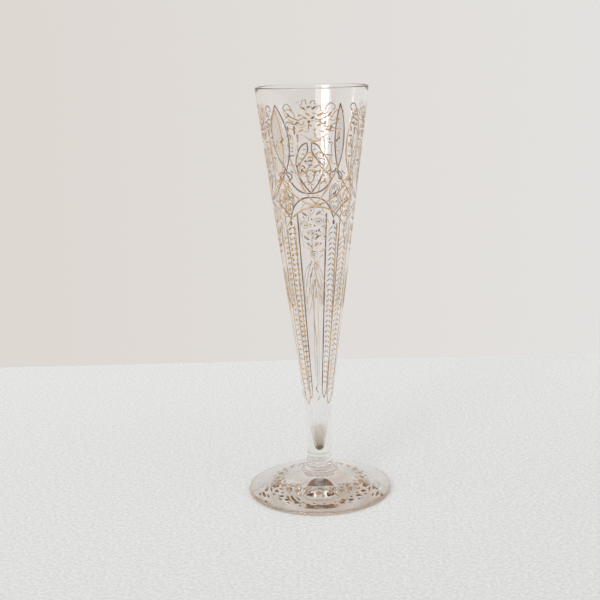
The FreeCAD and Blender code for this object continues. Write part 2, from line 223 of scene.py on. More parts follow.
def glass_material():
    """Clear blown glass: faint waves in the bowl, a slight haze, and a brown tint at the rim of the foot."""
    material, nodes, links, shader = principled("clear_glass")
    coords = nodes.new("ShaderNodeTexCoord")
    split = nodes.new("ShaderNodeSeparateXYZ")
    links.new(coords.outputs["Object"], split.inputs["Vector"])

    def between(source, low, high):
        spread = nodes.new("ShaderNodeMapRange")
        spread.inputs["From Min"].default_value = low
        spread.inputs["From Max"].default_value = high
        links.new(source, spread.inputs["Value"])
        return spread.outputs["Result"]

    flat = nodes.new("ShaderNodeMapping")
    flat.inputs["Scale"].default_value = (1, 1, 0)
    reach = nodes.new("ShaderNodeVectorMath")
    reach.operation = "LENGTH"
    links.new(coords.outputs["Object"], flat.inputs["Vector"])
    links.new(flat.outputs["Vector"], reach.inputs[0])
    foot_edge = between(reach.outputs["Value"], 34.2 * MM, 35.2 * MM)
    tint = ramp(nodes, links, foot_edge, [(0, (0.995, 0.99, 0.985)), (1, (0.86, 0.77, 0.69))])
    links.new(tint.outputs["Color"], shader.inputs["Base Color"])
    shader.inputs["Transmission Weight"].default_value = 1
    shader.inputs["IOR"].default_value = 1.5
    haze = noise(nodes, links, 60, 4)
    marks = ramp(nodes, links, haze.outputs["Fac"], [(0.5, (0.0,) * 3), (0.85, (0.03,) * 3)])
    links.new(marks.outputs["Color"], shader.inputs["Roughness"])
    waves = noise(nodes, links, 50, 1, (1, 1, 0.4))
    in_bowl = nodes.new("ShaderNodeMath")
    in_bowl.operation = "MULTIPLY"
    links.new(waves.outputs["Fac"], in_bowl.inputs[0])
    links.new(between(split.outputs["Z"], 20 * MM, 40 * MM), in_bowl.inputs[1])
    bump(nodes, links, in_bowl.outputs["Value"], shader, 0.1, 0.0005)
    depth = nodes.new("ShaderNodeVolumeAbsorption")
    depth.inputs["Color"].default_value = (0.5, 0.37, 0.22, 1)
    depth.inputs["Density"].default_value = 5
    links.new(depth.outputs["Volume"], nodes["Material Output"].inputs["Volume"])
    return material


def gold_material(name, worn, usual, bright):
    """Fired gold rubbed by use: warm satin metal, browner and duller where it is worn."""
    material, nodes, links, shader = principled(name)
    wear = noise(nodes, links, 420, 4)
    colour = ramp(nodes, links, wear.outputs["Fac"], [(0.3, worn), (0.48, usual), (0.7, bright)])
    links.new(colour.outputs["Color"], shader.inputs["Base Color"])
    dull = ramp(nodes, links, wear.outputs["Fac"], [(0.3, (0.62,) * 3), (0.7, (0.34,) * 3)])
    links.new(dull.outputs["Color"], shader.inputs["Roughness"])
    shader.inputs["Metallic"].default_value = 0.4
    grain = noise(nodes, links, 1600, 3)
    bump(nodes, links, grain.outputs["Fac"], shader, 0.5, 0.00004)
    return material


def gold_back_material():
    """Underside of the gold, seen through the glass: brown and dark."""
    material, nodes, links, shader = principled("gilding_back")
    wear = noise(nodes, links, 500, 3)
    colour = ramp(nodes, links, wear.outputs["Fac"], [
        (0.3, (0.20, 0.08, 0.03)), (0.55, (0.42, 0.21, 0.09)), (0.75, (0.58, 0.33, 0.15))])
    links.new(colour.outputs["Color"], shader.inputs["Base Color"])
    shader.inputs["Roughness"].default_value = 0.55
    return material


def ghost_material():
    """Thin matt enamel of the bouquets, once gilded and now mostly rubbed to its grey ground."""
    material, nodes, links, shader = principled("worn_gilding")
    wear = noise(nodes, links, 520, 4)
    colour = ramp(nodes, links, wear.outputs["Fac"], [
        (0.35, (0.60, 0.49, 0.39)), (0.55, (0.75, 0.64, 0.52)), (0.75, (0.80, 0.62, 0.41))])
    links.new(colour.outputs["Color"], shader.inputs["Base Color"])
    shader.inputs["Roughness"].default_value = 0.6
    shader.inputs["Metallic"].default_value = 0.2
    return material


def residue_material():
    """Dried brown film of old drink, thickest at the very bottom."""
    material, nodes, links, shader = principled("dried_residue")
    coords = nodes.new("ShaderNodeTexCoord")
    split = nodes.new("ShaderNodeSeparateXYZ")
    links.new(coords.outputs["Object"], split.inputs["Vector"])
    blotch = noise(nodes, links, 330, 4)
    rise = nodes.new("ShaderNodeMapRange")
    rise.inputs["From Min"].default_value = CAVITY_TIP * MM
    rise.inputs["From Max"].default_value = (CAVITY_TIP + 20) * MM
    links.new(split.outputs["Z"], rise.inputs["Value"])
    spread = nodes.new("ShaderNodeMath")
    spread.operation = "MULTIPLY_ADD"
    spread.inputs[1].default_value = 0.55
    links.new(blotch.outputs["Fac"], spread.inputs[0])
    links.new(rise.outputs["Result"], spread.inputs[2])
    colour = ramp(nodes, links, spread.outputs["Value"], [
        (0.3, (0.15, 0.12, 0.07)), (0.42, (0.36, 0.27, 0.14)), (0.8, (0.48, 0.37, 0.19))])
    links.new(colour.outputs["Color"], shader.inputs["Base Color"])
    cover = ramp(nodes, links, spread.outputs["Value"], [
        (0.28, (0.8,) * 3), (0.38, (0.33,) * 3), (0.6, (0.2,) * 3), (0.85, (0.1,) * 3), (1.1, (0.0,) * 3)])
    links.new(cover.outputs["Color"], shader.inputs["Alpha"])
    shader.inputs["Roughness"].default_value = 0.7
    return material


GLASS = glass_material()
GOLD = gold_material("gilding", (0.42, 0.26, 0.14), (0.66, 0.43, 0.22), (0.82, 0.57, 0.31))
FOOT_GOLD = gold_material("foot_gilding", (0.30, 0.19, 0.12), (0.47, 0.30, 0.18), (0.62, 0.40, 0.24))
GOLD_BACK = gold_back_material()
GHOST = ghost_material()


# ---- painting ----
class Brush:
    """Collects painted strokes on the bowl's cone as closed, slightly raised bands of gold.

    A motif is drawn in flat millimetres (x sideways, z height) about its own azimuth, as seen from
    straight in front, and each copy is painted with a little unsteadiness of its own."""

    # cross-section of a band: share of its half width sideways, share of its height up or of its bite down
    section = ((-1.0, 0.0), (-0.62, 0.72), (0.0, 1.0), (0.62, 0.72), (1.0, 0.0), (0.9, -1.0), (-0.9, -1.0))
    upper_sides = 4

    def __init__(self):
        self.missing = 0.0      # share of the strokes that are worn off
        self.weight = 1.0       # multiplies the width of every stroke
        self.verts = []
        self.faces = []
        self.slots = []

    def place(self, theta, z, height):
        """Point at this height above the cone's surface."""
        radius = bowl_radius(z) + height * math.cos(math.atan(BOWL_TAPER))
        z = z - height * math.sin(math.atan(BOWL_TAPER))
        return (radius * MM * math.sin(theta), -radius * MM * math.cos(theta), z * MM)

    def ring(self, theta, z, across, half, relief):
        """One cross-section of the band; across is the unit direction sideways, in mm round and mm up."""
        start = len(self.verts)
        radius = bowl_radius(z)
        for u, h in self.section:
            height = h * (relief if h > 0 else BITE)
            around = theta + u * half * across[0] / radius
            self.verts.append(self.place(around, z + u * half * across[1], height))
        return start

    def band(self, theta, z, halves, relief, slot):
        """Closed band along a line given by angles and heights, with its half width at each point."""
        radius = np.array([bowl_radius(v) for v in z])
        run = np.gradient(theta) * radius
        rise = np.gradient(z)
        length = np.hypot(run, rise) + 1e-9
        rings = [self.ring(theta[i], z[i], (-rise[i] / length[i], run[i] / length[i]), halves[i],
                           min(relief, halves[i] * 0.6)) for i in range(len(theta))]
        sides = len(self.section)
        for a, b in zip(rings, rings[1:]):
            for k in range(sides):
                following = (k + 1) % sides
                self.faces.append((a + k, a + following, b + following, b + k))
                self.slots.append(slot if k < self.upper_sides or slot == GHOST_SLOT else BACK_SLOT)
        self.faces.append(tuple(rings[0] + k for k in reversed(range(sides))))
        self.faces.append(tuple(rings[-1] + k for k in range(sides)))
        self.slots.extend([slot, slot])

    def stroke(self, azimuth, points, width=LINE, end_width=None, slot=GOLD_SLOT, shake=0.10, relief=RELIEF):
        """Painted line through flat points; it tapers to end_width and has rounded ends."""
        if random.random() < self.missing:
            return
        line = smooth(points, 0.4)
        count = len(line)
        drift = smooth([(random.uniform(-1, 1), random.uniform(-1, 1)) for _ in range(4)], 0.2)
        drift = drift[np.linspace(0, len(drift) - 1, count).astype(int)] * shake
        line = line + drift
        t = np.linspace(0, 1, count)
        widths = width + ((width if end_width is None else end_width) - width) * t
        beat = random.uniform(0, 6.28)
        widths = widths * (1 + 0.13 * np.sin(beat + t * (3 + count * 0.11)))
        travelled = np.concatenate([[0], np.cumsum(np.hypot(*np.diff(line, axis=0).T))])
        to_end = np.minimum(travelled, travelled[-1] - travelled)
        half = widths / 2 * self.weight
        round_off = np.sqrt(np.clip(1 - (1 - np.clip(to_end / half, 0, 1)) ** 2, 0.06, 1))
        theta, z = self.on_cone(azimuth, line)
        self.band(theta, z, half * round_off, relief, slot)

    def on_cone(self, azimuth, line):
        """Angles and heights of flat points laid on the cone."""
        z = line[:, 1]
        radius = np.array([bowl_radius(v) for v in z])
        theta = math.radians(azimuth) + np.arcsin(np.clip(line[:, 0] / radius, -0.99, 0.99))
        return theta, z

    def leaf(self, azimuth, root, tip, fullness, slot=GOLD_SLOT, bend=0.0):
        """Filled pointed leaf from root to tip; bend curves its spine sideways."""
        root, tip = np.array(root, float), np.array(tip, float)
        along = tip - root
        out = np.array([along[1], -along[0]]) / (np.hypot(*along) + 1e-9)
        t = np.linspace(0, 1, 9)
        line = root + along * t[:, None] + out * (bend * np.sin(math.pi * t))[:, None]
        halves = fullness * np.sin(math.pi * np.clip(t, 0.03, 0.97)) ** 0.8
        theta, z = self.on_cone(azimuth, line)
        self.band(theta, z, halves, RELIEF * 1.2, slot)

    def dot(self, azimuth, x, z, radius, slot=GOLD_SLOT):
        radius = radius * random.uniform(0.9, 1.12)
        x = x + random.uniform(-0.08, 0.08)
        z = z + random.uniform(-0.08, 0.08)
        t = np.linspace(-1, 1, 9)
        line = np.stack([x + radius * t, np.full(9, z)], 1)
        theta, heights = self.on_cone(azimuth, line)
        self.band(theta, heights, radius * np.sqrt(np.clip(1 - t ** 2, 0.01, 1)), RELIEF * 1.3, slot)

    def both(self, azimuth, points, *args, **kwargs):
        """The stroke and its mirror image."""
        self.stroke(azimuth, points, *args, **kwargs)
        self.stroke(azimuth, [(-x, z) for x, z in points], *args, **kwargs)

    def finish(self, name, node):
        """Makes the piece, which stands for the CAD node of the same motif."""
        obj = new_object(name, self.verts, self.faces, [GOLD, GOLD_BACK, GHOST], self.slots)
        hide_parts(node)
        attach(obj, "root")
        return obj


def side(z, degrees):
    """Flat distance sideways of a point this many degrees from the motif's own azimuth."""
    return bowl_radius(z) * math.sin(math.radians(degrees))


def panels():
    """Middle azimuth and half angle of the space between each two columns: front, right, back, left."""
    spaces = []
    for i, start in enumerate(COLUMNS):
        gap = (COLUMNS[(i + 1) % len(COLUMNS)] - start) % 360
        spaces.append((start + gap / 2, gap / 2))
    return spaces


PANELS = [middle for middle, half in panels()]

# the front and back panels are rubbed thin, partly to their ground; the side panels kept their gold:
# each panel's azimuth, the slot of its fainter strokes, and its share of the usual line width
PANEL_WEAR = list(zip(PANELS, (GHOST_SLOT, GOLD_SLOT, GHOST_SLOT, GOLD_SLOT), (0.85, 1.35, 0.85, 1.35)))

LANCET_TOP = 190.5
LANCET_BOTTOM = 159.0
LANCET_HALF = 4.3
LANCET_MIDDLE = (LANCET_TOP + LANCET_BOTTOM) / 2


def lancet_half_width(z, inset=0.0):
    """Half width of the pointed oval at a height, from the two arcs that form it."""
    reach = (LANCET_TOP - LANCET_BOTTOM) / 2
    radius = (reach ** 2 + LANCET_HALF ** 2) / (2 * LANCET_HALF)
    inside = radius ** 2 - (z - LANCET_MIDDLE) ** 2
    return math.sqrt(inside) - (radius - LANCET_HALF) - inset


# each lancet is drawn freehand: share of the usual width, then drift sideways at foot, middle and tip
LANCETS = dict(zip(COLUMNS, (
    (1.0, 0.0, -0.9, 0.6), (1.0, 1.0, 1.4, 1.9), (0.65, -0.6, -0.9, -0.2), (1.3, -1.0, 1.4, 2.2))))


def lancet_point(azimuth, x, z):
    """Place of a point of the regular lancet in the freehand one."""
    share, foot, middle, tip = LANCETS[azimuth]
    t = (z - LANCET_BOTTOM) / (LANCET_TOP - LANCET_BOTTOM)
    drift = foot * (1 - t) * (1 - 2 * t) + middle * 4 * t * (1 - t) + tip * t * (2 * t - 1)
    return (x * share + drift, z)


def lancet_frames():
    """Outlines of the pointed ovals between the panels."""
    brush = Brush()
    for azimuth in COLUMNS:
        for sign in (-1, 1):
            heights = np.linspace(LANCET_BOTTOM, LANCET_TOP, 7)
            outline = [lancet_point(azimuth, sign * max(0, lancet_half_width(z)), z) for z in heights]
            brush.stroke(azimuth, outline, 0.7)
    return brush.finish("painted_lancet_frames", "gilt_lancet_frames")


def lancet_lattices():
    """Fine crosshatching, each line clipped to the lancet."""
    brush = Brush()
    pitch = 1.75
    for azimuth in COLUMNS:
        for slant in (-1, 1):
            for i in range(-11, 12):
                inside = []
                for x in np.linspace(-LANCET_HALF, LANCET_HALF, 60):
                    z = LANCET_MIDDLE + i * pitch + slant * x * 1.05
                    if abs(z - LANCET_MIDDLE) < 15.4 and abs(x) < lancet_half_width(z, 0.35):
                        inside.append(lancet_point(azimuth, x, z))
                if len(inside) > 8:
                    brush.stroke(azimuth, [inside[0], inside[-1]], HAIR, shake=0.12, relief=0.04)
    return brush.finish("painted_lancet_lattices", "gilt_lancet_lattices")


def lancet_leaves():
    """Three small leaves in the middle of each lancet."""
    brush = Brush()
    for azimuth in COLUMNS:
        brush.leaf(azimuth, (-1.1, LANCET_MIDDLE - 1.6), (0.2, LANCET_MIDDLE + 0.6), 0.42)
        brush.leaf(azimuth, (0.0, LANCET_MIDDLE - 0.9), (1.2, LANCET_MIDDLE - 2.8), 0.5)
        brush.leaf(azimuth, (-0.5, LANCET_MIDDLE + 2.2), (0.2, LANCET_MIDDLE + 0.3), 0.3)
    return brush.finish("painted_lancet_leaves", "gilt_lancet_leaves")


def lancet_volutes():
    """Curls at the foot of each lancet."""
    brush = Brush()
    for azimuth in COLUMNS:
        curl = [(0.2, 159.6), (1.2, 157.9), (2.9, 157.3), (4.0, 156.0),
                (3.4, 154.6), (2.1, 154.5), (1.6, 155.6), (2.4, 156.2)]
        brush.both(azimuth, curl, 0.8, 0.5)
        brush.both(azimuth, [(3.3, 158.6), (5.0, 157.4), (6.6, 157.3)], 0.6, 0.3)
    return brush.finish("painted_lancet_volutes", "gilt_lancet_volutes")


def swags():
    """Hanging lines between the columns; a higher power makes the middle flatter, as on the back panel."""
    brush = Brush()
    for (azimuth, half_gap), power in zip(panels(), (1.75, 1.75, 2.5, 1.75)):
        points = []
        for t in np.linspace(-1, 1, 11):
            z = 146.9 + 11.2 * abs(t) ** power
            points.append((side(z, t * half_gap), z))
        brush.stroke(azimuth, points, 0.66, shake=0.18)
    return brush.finish("painted_swags", "gilt_swags")


def arches():
    """Arches over the panels, each with its power and crown: lower and flatter on the back panel."""
    brush = Brush()
    shapes = ((2.1, 145.9), (2.1, 145.9), (2.9, 145.0), (2.1, 145.9))
    for (azimuth, half_gap), (power, crown) in zip(panels(), shapes):
        points = []
        for t in np.linspace(-1, 1, 11):
            z = crown - 9.9 * abs(t) ** power
            points.append((side(z, t * half_gap), z))
        brush.stroke(azimuth, points, 0.66, shake=0.18)
    return brush.finish("painted_arches", "gilt_arches")


# middle height and line width; the two medallions at the back sit lower and are painted thinner
MEDALLIONS = list(zip(COLUMNS, (147.2, 147.2, 145.4, 144.6), (0.55, 0.5, 0.34, 0.4)))


def medallion_rings():
    """Double outline of each medallion."""
    brush = Brush()
    for azimuth, middle, width in MEDALLIONS:
        for half_width, half_height, share in ((3.5, 6.5, 1.0), (2.6, 5.5, 0.75)):
            points = []
            for angle in np.linspace(0, 2 * math.pi, 17):
                wobble = random.uniform(0.95, 1.05)
                points.append((half_width * wobble * math.sin(angle),
                               middle + half_height * wobble * math.cos(angle)))
            brush.stroke(azimuth, points, width * share)
    return brush.finish("painted_medallion_rings", "gilt_medallion_rings")


def medallion_rosettes():
    """Five-petalled flower among scribbled tendrils."""
    brush = Brush()
    for azimuth, middle, width in MEDALLIONS:
        centre_z = middle + 1.2
        for turn in range(5):
            angle = math.radians(18 + 72 * turn + random.uniform(-8, 8))
            tip = (1.7 * math.cos(angle), centre_z + 1.8 * math.sin(angle))
            root = (0.3 * math.cos(angle), centre_z + 0.3 * math.sin(angle))
            brush.leaf(azimuth, root, tip, 0.5)
        brush.dot(azimuth, 0, centre_z, 0.4, GHOST_SLOT)
        for x, rise, hand in ((-1.6, 3.6, 1), (1.2, 4.0, -1), (-2.1, 0.6, -1), (2.0, 0.4, 1),
                              (-1.4, -2.2, 1), (1.3, -2.6, -1), (0.0, -4.6, 1), (0.2, 5.2, -1)):
            z = middle + rise
            tendril = [(x - 0.8 * hand, z - 0.3), (x, z + 0.5),
                       (x + 0.8 * hand, z), (x + 0.3 * hand, z - 0.5)]
            brush.stroke(azimuth, tendril, width, 0.3)
        for x, rise in ((-1.7, -0.6), (1.7, -0.8), (0, -5.4), (-0.4, 2.9)):
            brush.dot(azimuth, x, middle + rise, 0.3)
    return brush.finish("painted_medallion_rosettes", "gilt_medallion_rosettes")


SHIELD_TOP = 171.5
SHIELD_SHOULDER = 160.3


def shields():
    """Heart-shaped shield with two hatched leaves on top, and an outer V that echoes it."""
    brush = Brush()
    leaf_outside = [(1.6, SHIELD_TOP), (4.4, 169.9), (6.5, 166.2), (7.3, 162.4), (7.0, SHIELD_SHOULDER - 0.6)]
    leaf_inside = [(1.3, SHIELD_TOP + 0.2), (1.0, 168.2), (2.4, 165.0), (4.8, 162.2), (6.9, SHIELD_SHOULDER)]
    heart = [(7.0, SHIELD_SHOULDER), (6.0, 155.9), (3.4, 151.2), (0.1, 147.3)]
    outer_v = [(10.6, 165.0), (9.0, 160.4), (5.8, 154.4), (1.6, 149.2)]
    for azimuth in PANELS:
        for sign in (-1, 1):
            def paint(points, width, end_width=None, slot=GOLD_SLOT):
                brush.stroke(azimuth, [(sign * x, z) for x, z in points], width, end_width, slot)
            paint(leaf_outside, 0.62)
            paint(leaf_inside, 0.6)
            paint(heart, 0.6)
            for x, z, reach in ((2.8, 168.2, 0.9), (3.6, 166.0, 1.0), (4.8, 163.8, 1.0)):
                paint([(x - reach, z - 0.2), (x, z + 0.25), (x + reach, z)], 0.42, 0.25)
            paint(outer_v, 0.5, 0.3, GHOST_SLOT)
            paint([(8.2, 165.7), (11.8, 165.5)], 0.6, 0.4)
            paint([(2.4, 149.8), (5.6, 153.6), (6.6, 155.8)], 0.3, slot=GHOST_SLOT)
    return brush.finish("painted_shields", "gilt_shields")


def shield_flowers():
    """Flower over a footed vase, with a scroll either side."""
    brush = Brush()
    for azimuth in PANELS:
        for z, reach, width in ((164.4, 1.0, 0.7), (162.6, 1.6, 1.0), (160.6, 1.3, 0.6)):
            brush.stroke(azimuth, [(-reach, z - 0.1), (0, z + 0.25), (reach, z - 0.1)], width, 0.3)
        brush.dot(azimuth, 2.3, 162.6, 0.6)
        vase = [(-1.4, 158.4), (-2.0, 155.6), (-0.7, 152.6), (0.7, 152.6), (2.0, 155.6), (1.4, 158.4)]
        brush.stroke(azimuth, vase, 0.4)
        brush.stroke(azimuth, [(-1.5, 158.5), (0, 158.1), (1.5, 158.5)], FINE, slot=GHOST_SLOT)
        for x in (-0.7, 0, 0.7):
            brush.stroke(azimuth, [(x, 157.4), (x * 0.8, 154.6)], HAIR, slot=GHOST_SLOT)
        brush.both(azimuth, [(2.2, 156.6), (3.6, 157.8), (5.0, 157.4), (4.6, 156.4)], 0.75, 0.4)
        brush.both(azimuth, [(2.6, 159.2), (3.6, 160.6), (4.8, 160.0)], 0.6, 0.3)
        brush.both(azimuth, [(0.4, 151.6), (1.6, 151.0)], 0.5, 0.3)
        brush.dot(azimuth, 4.3, 158.6, 0.55)
    return brush.finish("painted_shield_flowers", "gilt_shield_flowers")


def scrolls():
    """Arabesque above the shield: scrolling stems, dashes and dots, a capital and pilaster each side."""
    brush = Brush()
    stems_of_scroll = (
        ([(8.6, 186.6), (9.4, 189.0), (11.4, 190.4), (13.2, 189.4), (12.9, 187.8), (11.8, 187.6)], 0.56, 0.4),
        ([(0.6, 185.6), (2.8, 185.5), (4.6, 186.9), (6.4, 188.0), (7.4, 187.4)], 0.5, 0.35),
        ([(6.9, 186.2), (8.6, 185.3), (9.9, 186.2), (9.3, 187.2)], 0.56, 0.4),
        ([(3.4, 183.4), (5.6, 182.6), (8.2, 183.6), (10.4, 184.3), (12.0, 183.4)], 0.53, 0.4),
        ([(8.0, 182.6), (9.6, 181.4), (11.6, 182.0), (12.2, 180.8)], 0.6, 0.4),
        ([(0.6, 177.7), (2.6, 177.4), (4.6, 178.7), (6.2, 179.3)], 0.53, 0.4),
        ([(0.8, 190.3), (1.6, 191.9), (3.2, 191.6), (3.2, 190.3), (4.8, 189.8)], 0.44, 0.3))
    leaves = (
        ((1.6, 187.6), (4.2, 189.1), 0.48), ((1.0, 183.0), (3.0, 184.1), 0.48),
        ((10.6, 177.2), (11.4, 180.2), 0.48), ((5.0, 181.9), (7.2, 180.9), 0.36),
        ((9.6, 184.4), (11.8, 186.4), 0.4))
    for (azimuth, _, weight), missing in zip(PANEL_WEAR, (0.1, 0.0, 0.4, 0.0)):
        brush.missing = missing
        brush.weight = weight
        for points, width, end_width in stems_of_scroll:
            brush.both(azimuth, points, width, end_width, shake=SHAKY)
        brush.both(azimuth, [(4.6, 192.0), (5.6, 191.0), (6.8, 190.6)], 0.36, 0.25, GHOST_SLOT, SHAKY)
        brush.both(azimuth, [(2.2, 181.2), (3.4, 180.3), (5.0, 181.2), (6.0, 180.6)], 0.4, 0.3, shake=SHAKY)
        for sign in (-1, 1):
            brush.stroke(azimuth, [(sign * 7.7, 179.8), (sign * 7.7, 175.8)], 1.06)
            brush.stroke(azimuth, [(sign * 6.4, 180.6), (sign * 9.1, 180.8)], 0.56)
            brush.stroke(azimuth, [(sign * 7.6, 175.2), (sign * 7.7, 165.4)], 0.39)
            faded_edge = [(sign * 8.6, 174.8), (sign * 8.7, 167.0)]
            brush.stroke(azimuth, faded_edge, 0.31, slot=GHOST_SLOT, shake=SHAKY)
            brush.stroke(azimuth, [(sign * 9.2, 175.2), (sign * 12.2, 175.4)], 0.64, 0.4)
            hook = [(sign * 9.6, 171.8), (sign * 11.6, 171.4), (sign * 11.0, 169.8)]
            brush.stroke(azimuth, hook, 0.48, 0.3)
            for root, tip, fullness in leaves:
                brush.leaf(azimuth, (sign * root[0], root[1]), (sign * tip[0], tip[1]), fullness)
            brush.dot(azimuth, sign * 4.9, 184.9, 0.5)
            brush.dot(azimuth, sign * 10.2, 173.4, 0.4)
        brush.stroke(azimuth, [(-2.6, 176.9), (-0.6, 176.4), (1.6, 176.6), (3.4, 177.0)], 0.8, 0.5)
        brush.stroke(azimuth, [(-1.2, 174.6), (0.4, 174.9), (1.6, 174.3)], 0.72, 0.5)
        brush.stroke(azimuth, [(-1.1, 188.9), (0.8, 188.7)], 0.68)
        brush.dot(azimuth, 0, 181.6, 0.65)
        brush.stroke(azimuth, [(-0.4, 180.2), (0.4, 179.0), (-0.1, 178.0)], 0.47)
    return brush.finish("painted_scrolls", "gilt_scrolls")


def bouquets():
    """Hanging spray of open flowers, each a line wound inwards, with buds and leaves."""
    brush = Brush()
    whorl = 3.6 * math.pi
    for azimuth, worn, weight in PANEL_WEAR:
        brush.weight = weight
        for x, z, size in ((0.4, 138.6, 2.3), (-3.6, 133.2, 2.0), (3.9, 131.6, 2.2), (-0.2, 127.4, 1.8)):
            turns = []
            for angle in np.linspace(0, whorl, 18):
                reach = size * (1 - 0.78 * angle / whorl)
                turns.append((x + reach * math.cos(angle), z + reach * math.sin(angle)))
            brush.stroke(azimuth, turns, FINE, HAIR, slot=worn)
            brush.dot(azimuth, x, z, 0.42)
        for sign in (-1, 1):
            upper_spray = [(sign * 1.6, 142.6), (sign * 4.4, 141.4), (sign * 6.4, 137.6)]
            lower_spray = [(sign * 5.9, 135.0), (sign * 6.5, 130.4), (sign * 5.6, 126.0)]
            brush.stroke(azimuth, upper_spray, 0.5, 0.3, worn)
            brush.stroke(azimuth, lower_spray, 0.4, 0.3, worn)
            brush.leaf(azimuth, (sign * 2.2, 136.2), (sign * 5.2, 138.2), 0.55, worn, 0.3)
            brush.leaf(azimuth, (sign * 1.4, 124.4), (sign * 4.6, 126.6), 0.6, worn, 0.3)
            brush.leaf(azimuth, (sign * 1.0, 121.4), (sign * 3.2, 123.0), 0.5, worn)
        for x, z in ((-2.4, 141.6), (1.6, 135.2), (-1.4, 131.2), (2.2, 128.2), (-3.4, 128.8), (0.6, 131.8),
                     (-1.8, 124.6), (2.0, 134.0), (-4.2, 137.4), (4.6, 135.6), (0.2, 134.4), (-2.4, 127.0)):
            brush.dot(azimuth, x, z, random.uniform(0.28, 0.48), random.choice((GOLD_SLOT, BACK_SLOT)))
        brush.stroke(azimuth, [(0, 119.4), (0.4, 124.2), (-0.1, 126.0)], FINE, slot=worn)
    return brush.finish("painted_bouquets", "gilt_bouquets")


def bouquet_ties():
    """Four turns of ribbon round the spray."""
    brush = Brush()
    for azimuth in PANELS:
        for i in range(4):
            z = 118.9 - 1.05 * i
            brush.stroke(azimuth, [(-1.7 + 0.2 * i, z - 0.7), (0, z), (1.6 - 0.2 * i, z + 0.7)], 0.46, 0.3)
    return brush.finish("painted_bouquet_ties", "gilt_bouquet_ties")


def streamers():
    """Long leaves that droop either side of the stem."""
    brush = Brush()
    for azimuth, worn, weight in PANEL_WEAR:
        brush.weight = weight
        brush.both(azimuth, [(0.6, 114.2), (2.4, 108.8), (4.0, 103.0), (4.9, 94.4)], 0.42, 0.2, slot=worn)
        brush.both(azimuth, [(0.4, 113.6), (3.4, 110.6), (5.1, 105.0), (5.0, 94.0)], 0.36, 0.2, slot=worn)
        brush.both(azimuth, [(0.3, 111.0), (1.5, 106.0), (2.6, 99.4), (4.3, 92.6)], 0.36, 0.2)
        brush.both(azimuth, [(0.5, 104.6), (1.3, 99.0), (1.1, 95.4)], 0.42, 0.2, slot=worn)
        brush.leaf(azimuth, (0.6, 108.6), (2.0, 105.6), 0.34)
        brush.leaf(azimuth, (-0.8, 105.2), (-0.6, 101.6), 0.4)
        brush.both(azimuth, [(1.0, 100.0), (2.8, 97.2), (5.0, 95.6)], 0.36, 0.2, slot=worn)
    return brush.finish("painted_streamers", "gilt_streamers")


def stems():
    """Fine stem below the streamers, with a curl at its end."""
    brush = Brush()
    for azimuth in PANELS:
        long_stem = [(0.25, 103.0), (0.35, 84.0), (-0.45, 74.0), (-0.6, 54.0)]
        brush.stroke(azimuth, long_stem, 0.34, 0.28, GHOST_SLOT)
        brush.stroke(azimuth, [(0.55, 86.0), (0.75, 72.0), (0.5, 56.0)], 0.24, 0.2, GHOST_SLOT)
        brush.stroke(azimuth, [(0.3, 51.4), (0.4, 50.0), (-0.2, 49.0), (-0.9, 48.4)], 0.5, 0.4)
    return brush.finish("painted_stems", "gilt_stems")


def column_lines():
    """The two sides of each column, which meet in a point at its foot."""
    brush = Brush()
    for azimuth in COLUMNS:
        for sign in (-1, 1):
            line = [(sign * side(z, COLUMN_HALF), z) for z in (137.6, 115.0, 90.0, 70.0, 51.0)]
            brush.stroke(azimuth, line, 0.78, 0.62, shake=0.14)
            brush.stroke(azimuth, [line[-1], (sign * 0.9, 47.6), (0, 46.0)], 0.5)
    return brush.finish("painted_column_lines", "gilt_column_lines")


def chevrons():
    """Ladder of arrowheads, each half a separate flick of the brush, at each column's own slope and width."""
    brush = Brush()
    pitch = 2.55
    top = 131.0
    for azimuth, slope, width in zip(COLUMNS, (0.35, 0.8, 0.7, 0.2), (1.3, 0.66, 0.42, 1.1)):
        for i in range(31):
            z = top - i * pitch + random.uniform(-0.15, 0.15)
            reach = side(z, COLUMN_HALF) * 0.62
            rise = reach * slope * random.uniform(0.85, 1.15)
            for sign in (-1, 1):
                brush.stroke(azimuth, [(sign * reach, z - rise), (sign * 0.3, z)], width, 0.5, shake=0.1)
    return brush.finish("painted_chevrons", "gilt_chevrons")


def column_drops():
    """Small leaf at the head of each column."""
    brush = Brush()
    for azimuth in COLUMNS:
        brush.leaf(azimuth, (0, 132.0), (0, 134.6), 0.8)
    return brush.finish("painted_column_drops", "gilt_column_drops")


# ---- spots on the foot ----
BEADS = 24
FIRST_BEAD = -2.5


